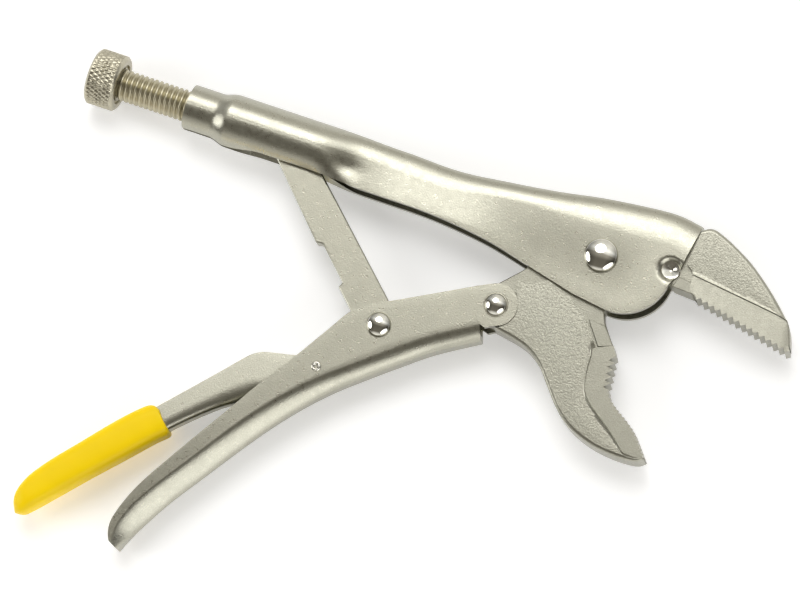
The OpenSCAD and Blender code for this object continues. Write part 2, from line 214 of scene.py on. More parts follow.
def mesh_piece(name, shape, body, material, replaces=None, crease=38,
               round_edges=0.0, segments=2):
    """Makes an object of a shape, which holds points in millimetres and groups of faces,
    each face a row of point numbers. material is one, or a list with the shape's third
    item picking from it for each group. Doubles are merged, faces turned outwards, and
    edges over crease degrees stay sharp or, with round_edges in millimetres, get a
    bevel."""
    points, faces, *finishes = shape
    used = np.unique(join([f.ravel() for f in faces]))
    number = np.zeros(used.max() + 1, int)
    number[used] = np.arange(len(used))
    mesh = bpy.data.meshes.new(name)
    mesh.from_pydata(placed(np.asarray(points)[used]).tolist(), [],
                     [q for f in faces for q in number[f].tolist()])
    if finishes:
        mesh.polygons.foreach_set("material_index", np.repeat(
            finishes[0], [len(f) for f in faces]).astype(np.int32))
    bm = bmesh.new()
    bm.from_mesh(mesh)
    bmesh.ops.remove_doubles(bm, verts=bm.verts, dist=2e-6)
    bmesh.ops.dissolve_degenerate(bm, edges=bm.edges, dist=1e-7)
    bmesh.ops.recalc_face_normals(bm, faces=bm.faces)
    bm.to_mesh(mesh)
    bm.free()
    mesh.polygons.foreach_set("use_smooth", np.ones(len(mesh.polygons), bool))
    mesh.set_sharp_from_angle(angle=math.radians(crease))
    piece = bpy.data.objects.new(name, mesh)
    bpy.context.scene.collection.objects.link(piece)
    if round_edges:
        bevel = piece.modifiers.new("Edges", "BEVEL")
        bevel.width = round_edges * MM
        bevel.segments = segments
        bevel.limit_method = "ANGLE"
        bevel.angle_limit = math.radians(crease)
        bevel.use_clamp_overlap = True
    for one in (material if isinstance(material, list) else [material]):
        mesh.materials.append(one)
    if body:
        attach(piece, body)
    if replaces:
        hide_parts(replaces)
    return piece


def tube(rings):
    """Points and faces of rings of points, each closed and joined to the next."""
    return rings.reshape(-1, 3), [grid_faces(*rings.shape[:2], close_columns=True)]


def revolve(profile, columns, at):
    """The profile's (radius, height) points, and the same below the middle plane, carried
    round the axis across the tool at a point of the side view: a point stands at
    (radius cos a, radius sin a, height) from there."""
    profile = np.asarray(profile, float)
    r, h = join([profile, profile[::-1] * [1, -1]]).T[..., None]
    a = turns(columns)
    return tube(np.stack([r * np.cos(a), r * np.sin(a), h + 0 * a], -1) + [*at, 0])


# ---------------------------------------------------------------- folded sheet

def folded_sheet(back, edge, half, fold, curl, curl_angle, thickness, fold_depth, press,
                 fold_power=2.0, wall_n=6, closed_rows=None):
    """A channel of sheet steel, closed along its back and open between its two edges.

    Row u is a section between the side view's points back[u] and edge[u]. From the middle
    of the back it runs half - fold outwards, turns a quarter superellipse that is fold
    wide and fold_depth deep (its power is 2 for an ellipse and 1 for a bevel), runs
    straight down the wall, and ends in an arc of length curl that turns inwards by
    curl_angle. Columns are mirrored about the middle plane. The inner surface is the outer
    one moved inwards by thickness along its normal, kept on its own side of the middle
    plane. press(x, y) is how far each wall is pushed in, less towards the middle plane.
    Past closed_rows only the walls go on."""
    rows = len(back)
    half, fold, deep, power, curl, curl_angle = [
        np.broadcast_to(np.asarray(v, float), rows)[:, None]
        for v in (half, fold, fold_depth, fold_power, curl, curl_angle)]
    depth = np.linalg.norm(edge - back, axis=1)[:, None]
    down = (edge - back) / depth
    flat_n, fold_n, curl_n = 2, 10, 8
    parts = np.array([flat_n, fold_n, wall_n, curl_n])
    step = np.arange(parts.sum() + 1)[None, :]
    ends = join([[0], np.cumsum(parts)])
    f, c, w, e = [np.clip((step - ends[k]) / parts[k], 0, 1) for k in range(4)]
    out, up = np.sin(c * np.pi / 2) ** (2 / power), np.cos(c * np.pi / 2) ** (2 / power)
    radius = curl / curl_angle
    wall = depth - deep - radius * np.sin(curl_angle)
    z = (half - fold) * f + fold * out - radius * (1 - np.cos(curl_angle * e))
    h = deep * (1 - up) + wall * w + radius * np.sin(curl_angle * e)
    turn = np.arctan2(deep * out ** (power - 1), fold * up ** (power - 1)) + curl_angle * e
    z = join([-z[:, :0:-1], z], 1)
    h = join([h[:, :0:-1], h], 1)
    nz = join([-np.sin(turn)[:, :0:-1], np.sin(turn)], 1)
    nd = join([-np.cos(turn)[:, :0:-1], -np.cos(turn)], 1)
    outer = join([back[:, None] + down[:, None] * h[..., None], z[..., None]], -1)
    normal = join([down[:, None] * nd[..., None], nz[..., None]], -1)
    inner = outer - thickness * normal
    side = np.sign(outer[..., 2])
    inner[..., 2] = side * np.maximum(inner[..., 2] * side, 0)
    for layer in (outer, inner):
        share = np.clip(layer[..., 2] / half, -1, 1)
        layer[..., 2] -= press(layer[..., 0], layer[..., 1]) * share
    cells_across = outer.shape[1] - 1
    from_middle = np.abs(np.arange(cells_across) + 0.5 - cells_across / 2) - 0.5
    wall_starts = flat_n + fold_n
    closed = np.arange(rows - 1)[:, None] < (closed_rows or rows) - 1
    return sheet_faces(outer, inner, closed | (from_middle >= wall_starts))


def sheet_faces(outer, inner, cells):
    """Points and faces of the solid between two grids, over the cells that are kept: both
    faces of each cell, and a side face wherever a kept cell has no kept neighbour."""
    rows, columns = outer.shape[:2]
    count = rows * columns
    number = np.arange(count).reshape(rows, columns)
    quads = grid_faces(rows, columns)[cells.ravel()]
    ring = np.pad(cells, 1)
    across = ring[1:-1, 1:] != ring[1:-1, :-1]      # an edge between columns c - 1 and c
    down = ring[1:, 1:-1] != ring[:-1, 1:-1]        # an edge between rows r - 1 and r
    a, b = number[:-1][across], number[1:][across]
    c, d = number[:, :-1][down], number[:, 1:][down]
    sides = join([np.stack([a, b, b + count, a + count], -1),
                  np.stack([c, d, d + count, c + count], -1)])
    points = join([outer.reshape(-1, 3), inner.reshape(-1, 3)])
    return points, [quads, quads[:, ::-1] + count, sides]


# ---------------------------------------------------------------- forged jaws

BEAD_AT, BEAD_LIFT = [0.22, 0.42, 0.75], [0.2, 0.16, 0.0]
FACE_CROWN = 0.06
HAS_STEP = 0.05     # the least step that makes the strip a ground one, with a bead
STRIP_N, MAIN_N, ROUND_N = 5, 10, 7


def forged_plate(grip, ridge, back, step, slope, rim, groove, rear, fade=0.1):
    """A jaw's plate. Row u joins three points of the side view: grip[u] on the toothed
    edge, ridge[u], and back[u]. On each side the main face stands at JAW_HALF, with a
    low bead beside the ridge where there is a step. Past the ridge a smooth strip lies
    step lower and falls by slope times the distance to the ridge. Short of the back by
    rim, the face drops by groove and a quarter ellipse rounds it over. rear gives the
    strip's and the main face's outline at the first row; its pull fades over the rows.
    Returns points, faces and, for each group of faces, its finish: 0 main, 1 strip."""
    rows = len(grip)
    step, slope = [np.broadcast_to(np.asarray(v, float), rows)[:, None]
                   for v in (step, slope)]
    width = np.linalg.norm(ridge - back, axis=1)[:, None]
    rim_w = np.minimum(rim, 0.5 * width)
    strip_t = np.linspace(0, 1, STRIP_N)
    main_t = join([np.array(BEAD_AT) / np.maximum(width, 2.0),
                   np.linspace(0, 1, MAIN_N + 1)[1:] * (1 - rim_w / width)], 1)
    main_t = np.maximum.accumulate(main_t, axis=1)
    round_t = np.radians(np.linspace(0, 90, ROUND_N))[None]
    turn_t = 1 - rim_w / width * (1 - np.sin(round_t))
    strip = lerp(grip[:, None], ridge[:, None], strip_t[:, None])
    main = lerp(ridge[:, None], back[:, None], main_t[..., None])
    turn = lerp(ridge[:, None], back[:, None], turn_t[..., None])
    pull = np.clip(1 - np.linspace(0, 1, rows) / fade, 0, 1)[:, None, None] ** 2
    strip = strip + pull * (along(rear[0], strip_t) - strip[:1])
    main = main + pull * (along(rear[1], main_t[0]) - main[:1])
    turn = turn + pull * (along(rear[1], turn_t[0]) - turn[:1])
    fall = np.linalg.norm(grip - ridge, axis=1)[:, None] * (1 - strip_t)
    strip_z = JAW_HALF - step - slope * fall
    lift = np.array(BEAD_LIFT + [0.0] * MAIN_N)
    main_z = JAW_HALF + lift * (step > HAS_STEP) + FACE_CROWN * np.sin(np.pi * main_t)
    turn_z = JAW_HALF - groove - rim * 0.9 * (1 - np.cos(round_t)) + 0 * width
    xy = join([strip, main, turn], 1)
    z = join([strip_z, main_z, turn_z], 1)
    near = join([xy, z[..., None]], -1)
    loop = join([near, (near * [1, 1, -1])[:, ::-1]], 1)
    columns, half = loop.shape[1], near.shape[1]
    around = grid_faces(rows, columns, close_columns=True).reshape(rows - 1, columns, 4)
    c = np.arange(columns)
    smooth = ((c < STRIP_N - 1) | (c >= columns - STRIP_N)) & (step[1:] > HAS_STEP)
    j = np.arange(half - 1)
    ends = [n * columns + np.stack([j, j + 1, columns - 2 - j, columns - 1 - j], -1)
            for n in (0, rows - 1)]
    return loop.reshape(-1, 3), [around[~smooth], around[smooth], *ends], (0, 1, 0, 1)


def toothed(start, end, count, depth, lean=0.5):
    """count saw teeth from start to end: straight flanks from each step's ends down to a
    root that is depth to the right, at the fraction lean of the step. Two points a tooth."""
    start, end = np.asarray(start, float), np.asarray(end, float)
    t = (np.arange(count)[:, None] + [0, lean]).ravel() / count
    way = unit(end - start)
    right = np.array([way[1], -way[0]])
    dip = np.tile([0, 1], count)
    return lerp(start, end, t[:, None]) + dip[:, None] * depth * right


def plate(outline, half):
    """The side view's outline carried from -half to half across the tool."""
    p = np.asarray(outline, float)
    n = len(p)
    sides = [join([p, np.full((n, 1), z)], 1) for z in (-half, half)]
    return join(sides), [grid_faces(2, n, close_columns=True),
                         np.arange(n)[None, ::-1], n + np.arange(n)[None]]


# ---------------------------------------------------------------- finishes

class Nodes:
    """Adds shader nodes to a material or a world, wired by name."""

    def __init__(self, owner, last="Principled BSDF"):
        owner.use_nodes = True
        self.owner = owner
        self.tree = owner.node_tree
        self.last = self.tree.nodes[last]
        self.coordinates = self.add("ShaderNodeTexCoord").outputs

    def put(self, node, inputs):
        """Gives a node's inputs, by name or by number, their values or their links."""
        for key, value in inputs.items():
            socket = node.inputs[key if isinstance(key, int) else key.replace("_", " ")]
            if isinstance(value, bpy.types.NodeSocket):
                self.tree.links.new(value, socket)
            else:
                socket.default_value = value

    def add(self, kind, operation=None, **inputs):
        node = self.tree.nodes.new(kind)
        if operation:
            node.operation = operation
        self.put(node, inputs)
        return node

    def shade(self, **inputs):
        """Sets the inputs of the shader at the tree's end."""
        self.put(self.last, inputs)

    def noise(self, scale, detail=4.0, roughness=0.55):
        node = self.add("ShaderNodeTexNoise", Vector=self.coordinates["Object"], Scale=scale,
                        Detail=detail, Roughness=roughness)
        return node.outputs["Fac"]

    def ramp(self, value, low, high, start=0.3, end=0.7):
        """Runs from low to high as value runs from start to end."""
        node = self.add("ShaderNodeMapRange", Value=value, From_Min=start, From_Max=end,
                        To_Min=low, To_Max=high)
        return node.outputs["Result"]

    def mix(self, amount, a, b):
        """Colour a where amount is 0 and b where it is 1."""
        node = self.tree.nodes.new("ShaderNodeMix")
        node.data_type = "RGBA"
        self.put(node, {0: amount, 6: a, 7: b})
        return node.outputs[2]

    def drift(self, scale, detail, colour, darker):
        """The colour, darker in soft clouds."""
        return self.mix(self.ramp(self.noise(scale, detail), 0.0, 1.0),
                        rgba(colour, darker), rgba(colour))

    def bump(self, height, distance, **normal):
        node = self.add("ShaderNodeBump", Height=height, Distance=distance * MM, **normal)
        return node.outputs["Normal"]


def new_material(name):
    return Nodes(bpy.data.materials.new(name))


def rgba(colour, shade=1.0):
    return [min(1.0, c * shade) for c in colour] + [1.0]


def satin_metal(name, colour, roughness, grain=2500, grain_h=0.036, cloud=260, darker=0.88,
                specks=0.78):
    """Blasted and plated steel: soft clouds and fine specks of colour, blotches of
    roughness, and an even grain in the surface."""
    m = new_material(name)
    m.shade(Metallic=1.0,
            Base_Color=m.mix(m.ramp(m.noise(grain * 1.2, 1.0), 0.0, 1.0),
                             rgba(colour, specks), m.drift(cloud, 3.0, colour, darker)),
            Roughness=m.ramp(m.noise(grain * 0.25, 5.0), roughness * 0.86, roughness * 1.18),
            Normal=m.bump(m.noise(grain, 1.0), grain_h))
    return m.owner


def pebbled_metal(name, colour, roughness, pebble=1900, pebble_h=0.07, darker=0.78):
    """Forged and tumbled steel: rounded pits and lumps under a fine grain."""
    m = new_material(name)
    lumps = m.noise(pebble, 3.5, 0.62)
    pits = m.add("ShaderNodeTexVoronoi", Vector=m.coordinates["Object"], Scale=pebble * 0.8)
    pits.feature = "SMOOTH_F1"
    pitted = m.bump(pits.outputs["Distance"], pebble_h * 0.2, Normal=m.bump(lumps, pebble_h))
    m.shade(Metallic=1.0, Normal=m.bump(m.noise(4200, 2.0), 0.01, Normal=pitted),
            Base_Color=m.mix(m.ramp(lumps, 0.0, 1.0, 0.35, 0.6), rgba(colour, darker),
                             rgba(colour)),
            Roughness=m.ramp(lumps, roughness * 1.2, roughness * 0.85))
    return m.owner


def polished_metal(name, colour, roughness=0.06):
    """Bright plating with faint clouds and hairline scuffs."""
    m = new_material(name)
    m.shade(Metallic=1.0, Base_Color=m.drift(500, 3.0, colour, 0.9),
            Roughness=m.ramp(m.noise(900, 4.0), roughness * 0.7, roughness * 1.5),
            Normal=m.bump(m.noise(700, 2.0), 0.004))
    return m.owner


def dipped_vinyl(name, colour):
    """Soft glossy vinyl with a faint orange-peel and slow colour drift."""
    m = new_material(name)
    m.shade(Base_Color=m.drift(60, 2.0, colour, 0.93),
            Roughness=m.ramp(m.noise(300, 3.0), 0.38, 0.48),
            Normal=m.bump(m.noise(420, 2.0), 0.03),
            Subsurface_Weight=0.12, Subsurface_Radius=(0.0016, 0.0011, 0.0002),
            Specular_IOR_Level=0.22)
    return m.owner


# ---------------------------------------------------------------- pieces

class PliersOperator:
    """What every builder shares."""
    bl_options = {"REGISTER", "UNDO"}

    def execute(self, context):
        self.build(sizes(), finish())
        return {"FINISHED"}


COLLAR_X = -131.5
BARREL_R, COLLAR_R = 8.1, 6.9
CHANNEL_HALF = 5.8
CHANNEL_BACK_Y, CHANNEL_EDGE_Y = 11.25, -4.2
FUNNEL_DEEP, DENT_DEEP, DENT_AT = 2.3, 0.55, (-81, 0.6)
REAR_LEAN, FRONT_LEAN = 0.045, 0.45
JAW_HALF = 5.3
STRAIGHT = 0.02     # the curl angle, in radians, of a wall that ends flat
UPPER_TOP = [(-62, 11.2), (-48, 10.9), (-33, 12.5), (-19, 14.4), (-5, 16.9), (10, 18.7),
             (18, 19), (25.1, 17.9)]
UPPER_LOW = [(-70, -4.2), (-52, -4.4), (-34.5, -6.3), (-19.8, -9.6), (-4.2, -13.3)]


class PLIERS_OT_upper_handle(PliersOperator, bpy.types.Operator):
    """Necked collar, rolled barrel and folded channel of the upper handle"""
    bl_idname = "pliers.upper_handle"
    bl_label = "Upper Handle"

    def build(self, size, look):
        """One folded sheet whose section turns from a rolled tube into a channel. Its top
        line is the tube's top and then the channel's back; its edge line is the tube's
        seam, the channel's lower edge, the round belly and the front end."""
        rear = join([np.linspace(COLLAR_X, -124, 6), np.linspace(-123, -117, 19),
                     np.linspace(-116, -90, 18), np.linspace(-89, -63, 40)])
        swell = ease(rear, -123, -118)
        radius = lerp(COLLAR_R, BARREL_R, swell)
        flatten = ease(rear, -92, -75)
        tube_top = SCREW_Y + radius
        top_y = lerp(tube_top, CHANNEL_BACK_Y, ease(rear, -90, -66))
        back = np.stack([rear, top_y], -1)
        opened = ease(rear, -118, -106)
        angle = lerp(math.radians(86), math.radians(62), opened)
        tube_low = SCREW_Y - (radius - 0.4) * np.sin(angle) - 0.2
        low_y = lerp(tube_low, CHANNEL_EDGE_Y, ease(rear, -92, -74))
        edge = np.stack([rear, low_y], -1)
        curl_angle = lerp(angle, STRAIGHT, flatten)
        curl = lerp((radius - 0.5) * angle, 3.0, flatten)
        fold = lerp(radius - 0.5, size.corner / MM, flatten)
        half = lerp(radius, CHANNEL_HALF, flatten)
        front_n = 110
        t = np.linspace(0, 1, front_n + 1)[1:]
        top = along(smooth_line(UPPER_TOP), t)
        belly = arc((7.5, -0.8), 14, -95, -5, 24)
        low = join([smooth_line(UPPER_LOW)[6:], belly, [(23, 2.8)]])
        back = join([back, top])
        edge = join([edge, along(low, t)])
        tail = np.ones(front_n)
        stations = [-74, -62, -50, -36, -22, -8, 6, 18, 25]
        deep = curved(np.array([[6.5], [6.8], [6.5], [5.6], [6.2], [8.2], [9.6], [10], [10]]),
                      np.interp(back[:, 0], stations, np.arange(9)))[:, 0]
        fold = join([fold, tail * size.corner / MM])
        bent = join([flatten, tail])
        deep = lerp(join([radius - 0.5, tail]), deep, bent)

        def press(x, y):
            """A funnel round the plug, a dent where the tube opens out, a wall that leans
            in towards its fold behind the pivot, and towards its lower edge at the belly."""
            from_plug = np.hypot(x - PLUG_AT[0], y - PLUG_AT[1])
            funnel = FUNNEL_DEEP * (1 - ease(from_plug, 1.4, 3.9))
            dent = DENT_DEEP * np.exp(-((x - DENT_AT[0]) / 4.5) ** 2
                                      - ((y - DENT_AT[1]) / 2.6) ** 2)
            behind = np.clip(y + 4, 0, 12) * ease(x, -76, -62) * (1 - ease(x, -46, -30))
            belly = (1 - ease(y, -10, 10)) * ease(x, -38, -14) * (1 - ease(x, 4, 18))
            return funnel + dent + REAR_LEAN * behind + FRONT_LEAN * belly

        sheet = folded_sheet(
            back, edge, join([half, tail * CHANNEL_HALF]), fold, join([curl, tail * 3.0]),
            join([curl_angle, tail * STRAIGHT]), size.sheet / MM, deep, press, wall_n=30)
        mesh_piece("upper_handle_shell", sheet, "upper_handle",
                   satin_metal("satin_nickel", look.nickel, look.roughness),
                   "upper_handle", round_edges=size.edge / MM)


LOWER_TOP = [(-31, -20.1), (-42.5, -26.5), (-53.6, -32.6), (-59.7, -35.9), (-64, -39.8),
             (-68.1, -46.6), (-74.3, -56.9), (-80.9, -67), (-87.1, -77.6), (-93.5, -88.2),
             (-99.8, -98.9), (-104.4, -107.3), (-107.3, -114.5), (-108.6, -120),
             (-108.3, -123.4), (-107.2, -125.9)]
LOWER_BACK = [(-104.7, -127.2), (-101.2, -120.6), (-95.4, -109.9), (-88.7, -99.6),
              (-82, -89.3), (-75.2, -79.4), (-68.1, -70.4), (-61, -62.8), (-53.4, -56),
              (-45.6, -49.4), (-36.9, -42.4), (-25, -34.8)]
EAR_R = 6.35
TIP_LEAN = 0.06


class PLIERS_OT_lower_handle(PliersOperator, bpy.types.Operator):
    """Folded grip with two ears at the front and a round trough at its tip"""
    bl_idname = "pliers.lower_handle"
    bl_label = "Lower Handle"

    def build(self, size, look):
        """One folded sheet from the tip to the ears. The fold's radius grows towards the
        tip. Past the end of the back only the walls go on, round the handle rivet."""
        rows, ear_rows = 170, 22
        t = np.linspace(0, 1, rows)
        top = along(smooth_line(LOWER_TOP)[::-1], 0.9 * t + 0.1 * ease(t, 0.7, 1))
        bottom = along(smooth_line(LOWER_BACK), t ** 0.97)
        depth = np.linalg.norm(top - bottom, axis=1)
        fold = np.minimum(lerp(5.5, 3.4, ease(t, 0.12, 0.9)), 0.70 * depth)
        crown = arc(HANDLE_PIN, EAR_R, 118, 40, 12)
        chin = join([[(-25.4, -31.5), (-23.2, -30.1)], arc(HANDLE_PIN, EAR_R, -62, 18, 12)])
        s = np.linspace(0, 1, ear_rows + 1)[1:]
        ear_top = along(join([[LOWER_TOP[0]], crown]), s)
        ear_low = along(chin, s)
        ear_fold = 2.5
        ear_back = ear_low + ear_fold * unit(ear_low - ear_top)
        back = join([bottom, ear_back])
        edge = join([top, ear_top])
        fold = join([fold, np.full(ear_rows, ear_fold)])
        gap = np.linalg.norm(edge - back, axis=1) * 0.25
        slant = lerp(1.3, 1.7, ease(t, 0.3, 0.95))
        crease = np.minimum(lerp(6.4, 4.6, ease(t, 0.4, 0.95)), 0.72 * depth)
        deep = join([crease, fold[rows:]])

        def press(x, y):
            """Near the tip the walls lean in, more the farther they are below the edge."""
            below = 0.861 * (x + 104.4) - 0.508 * (y + 107.3)
            return TIP_LEAN * np.clip(below, 0, 8) * (1 - ease(x, -104, -78))

        sheet = folded_sheet(
            back, edge, CHANNEL_HALF, fold, np.minimum(3.0, gap), STRAIGHT,
            size.sheet / MM, deep, press, join([slant, np.full(ear_rows, 2.0)]),
            closed_rows=rows)
        mesh_piece("lower_handle_shell", sheet, "lower_handle",
                   satin_metal("satin_nickel_grip", look.nickel, look.roughness),
                   "lower_handle", round_edges=size.edge / MM)


LEVER_TOP = [(-70, -54.6), (-75.4, -56.5), (-80.4, -57.6), (-84.4, -58.6), (-87.2, -60.3),
             (-89.8, -63), (-95.3, -69.4), (-102.3, -77.3), (-108.6, -84.4), (-116, -92.5),
             (-124, -102)]
LEVER_LOW = [(-72, -63.2), (-78, -68.6), (-86.2, -74.6), (-91.4, -78.4), (-97, -83.4),
             (-102.2, -88.6), (-110, -97), (-119, -107)]
BOSS_R = 4.0
LEVER_HALF, LEVER_LEAN = 3.5, 0.06


class PLIERS_OT_release_lever(PliersOperator, bpy.types.Operator):
    """Small folded release lever that turns inside the lower handle"""
    bl_idname = "pliers.release_lever"
    bl_label = "Release Lever"

    def build(self, size, look):
        """One folded sheet, closed towards the lower handle, from inside the sleeve to the
        boss, where only its walls go on round the small rivet."""
        rows, boss_rows = 90, 14
        t = np.linspace(0, 1, rows)
        top = along(smooth_line(LEVER_TOP)[::-1], t)
        bottom = along(smooth_line(LEVER_LOW)[::-1], t)
        s = np.linspace(0, 1, boss_rows + 1)[1:]
        fold = 1.9
        crown = join([[LEVER_TOP[0]], arc(LEVER_PIN, BOSS_R, 100, 40, 9)])
        chin = join([[(-70.6, -61.2)], arc(LEVER_PIN, BOSS_R, -70, 10, 9)])
        boss_top, boss_low = along(crown, s), along(chin, s)
        back = join([bottom, boss_low + fold * unit(boss_low - boss_top)])
        edge = join([top, boss_top])
        depth = np.linalg.norm(edge - back, axis=1)
        row = np.arange(len(back))
        deep = lerp(np.maximum(fold, 0.42 * depth), fold, ease(row, rows - 25, rows - 1))

        def press(x, y):
            """The walls lean in towards the open edge."""
            below = 0.69 * (x + 89.8) - 0.72 * (y + 63)
            return LEVER_LEAN * np.clip(9 - below, 0, 9)

        sheet = folded_sheet(back, edge, LEVER_HALF, fold,
                             np.minimum(2.0, 0.4 * (depth - fold)), STRAIGHT, 1.5,
                             deep, press, closed_rows=rows)
        mesh_piece("release_lever_shell", sheet, "release_lever",
                   satin_metal("satin_nickel_lever", look.nickel, look.roughness * 1.05),
                   "release_lever", round_edges=0.2)


SLEEVE_TOP = [(-107.4, -84.4), (-109.9, -83.9), (-112.8, -85.8), (-118.7, -92), (-127, -102),
              (-133, -109.3), (-137.2, -115.6), (-139.0, -121), (-138.7, -124.8)]
SLEEVE_LOW = [(-103.9, -88.4), (-102.2, -90.4), (-105.6, -94), (-111.4, -100.5),
              (-120, -110), (-128.4, -119.6), (-132.9, -124.6), (-134.9, -126.5),
              (-137.4, -127.0)]


class PLIERS_OT_lever_sleeve(PliersOperator, bpy.types.Operator):
    """Vinyl sleeve dipped over the release lever's tail"""
    bl_idname = "pliers.lever_sleeve"
    bl_label = "Lever Sleeve"

    def build(self, size, look):
        """Rounded boxes between the two side lines: across a section the point at angle a
        is the half widths times the signed root of cos a and sin a, and the half widths
        close to nothing in a quarter circle at the tip. The mouth has a rolled lip."""
        rows, columns = 90, 64
        t = np.linspace(0, 1, rows)
        top = along(smooth_line(SLEEVE_TOP), t)
        low = along(smooth_line(SLEEVE_LOW), t)
        middle, half = (top + low) / 2, (top - low) / 2
        across = 5.3 * np.sqrt(np.clip(1 - np.clip((t - 0.86) / 0.14, 0, 1) ** 2.2, 0.02, 1))
        lip = 1 - 0.10 * (1 - np.sqrt(np.clip(1 - (1 - t / 0.05) ** 2, 0, 1))) * (t < 0.05)
        a = turns(columns)
        ca = np.sign(np.cos(a)) * np.abs(np.cos(a)) ** 0.68
        sa = np.sign(np.sin(a)) * np.abs(np.sin(a)) ** 0.62
        xy = middle[:, None] + half[:, None] * (lip[:, None] * ca)[..., None]
        z = (across * lip)[:, None] * sa
        body = join([xy, z[..., None]], -1)
        centre = np.array([*middle[0], 0.0])
        way = np.array([*unit(middle[3] - middle[0]), 0.0])
        mouth = np.stack([lerp(centre, body[0], k) + way * d
                          for k, d in ((0.0, 1.2), (0.5, 1.2), (0.82, 0.9), (0.93, 0.1))])
        end = np.repeat(body[-1].mean(0)[None], columns, 0)[None]
        mesh_piece("lever_sleeve_skin", tube(join([mouth, body, end])),
                   "release_lever", dipped_vinyl("yellow_vinyl", look.vinyl),
                   "lever_sleeve", crease=80)


def jaw_pieces(jaw, body, suffix, colour, face, tang, tang_roughness, neck):
    """A jaw's three pieces: its face plate, its tang and its neck."""
    steel = [pebbled_metal("forged_steel" + suffix, colour, 0.33),
             satin_metal("ground_steel" + suffix, colour, 0.36)]
    mesh_piece(jaw + "_plate", face, body, steel, jaw, crease=30)
    for part, shape, roughness, edge in (("tang", tang, tang_roughness, 0.3),
                                         ("neck", neck, 0.4, 0.25)):
        mesh_piece(f"{jaw}_{part}", shape, body,
                   satin_metal(f"{part}_steel{suffix}", colour, roughness), crease=30,
                   round_edges=edge)


FIXED_TEETH, COARSE_TEETH, FINE_TEETH = 15, 5, 17
STRIP_STARTS = 6.95     # the place in the movable jaw's table of rows


class PLIERS_OT_fixed_jaw(PliersOperator, bpy.types.Operator):
    """Fixed jaw: forged plate with bevelled toothed strip, and its tang in the channel"""
    bl_idname = "pliers.fixed_jaw"
    bl_label = "Fixed Jaw"

    def build(self, size, look):
        root, tip = np.array([29.6, -2.0]), np.array([61.0, -8.9])
        grip = join([toothed(root, tip, FIXED_TEETH, size.tooth / MM), [tip]])
        grip = along(grip, np.linspace(0, 1, FIXED_TEETH * 8 + 1))
        t = np.linspace(0, 1, len(grip))
        ridge = along([(27.2, 3.1), (57.4, -0.6), (60.3, -7.6)],
                      np.interp(t, [0, 0.9, 1], [0, 0.797, 1]))
        line = smooth_line([(25.4, 17.9), (28, 18.2), (32, 17), (37, 14.7), (43, 11.3),
                            (50, 6), (55.5, 1), (59, -3), (60.9, -8.2)])
        back = along(line, np.interp(t, [0, 0.9, 1], [0, 0.86, 1]))
        rear = ([(29.6, -2), (28.2, -2.1), (27.4, -1.1), (27.2, 3.1)],
                [(27.2, 3.1), (26.4, 4.6), (24.4, 5.4), (25.4, 16.7)])
        tang = [(13.5, 16.6), (13.5, 3), (15.5, -1.4), (22.4, -1.8), (28.5, -2.2), (30, 3),
                (29, 14.5), (24.6, 15.9)]
        neck = [(22.4, -1.9), (28.9, -2.3), (28.6, 0.8), (23.5, 1.5)]
        jaw_pieces("fixed_jaw", "upper_handle", "", look.steel,
                   forged_plate(grip, ridge, back, 0.4, -0.035, size.rim / MM, 0.14, rear),
                   plate(tang, 3.8), 0.32, plate(neck, 4.75))


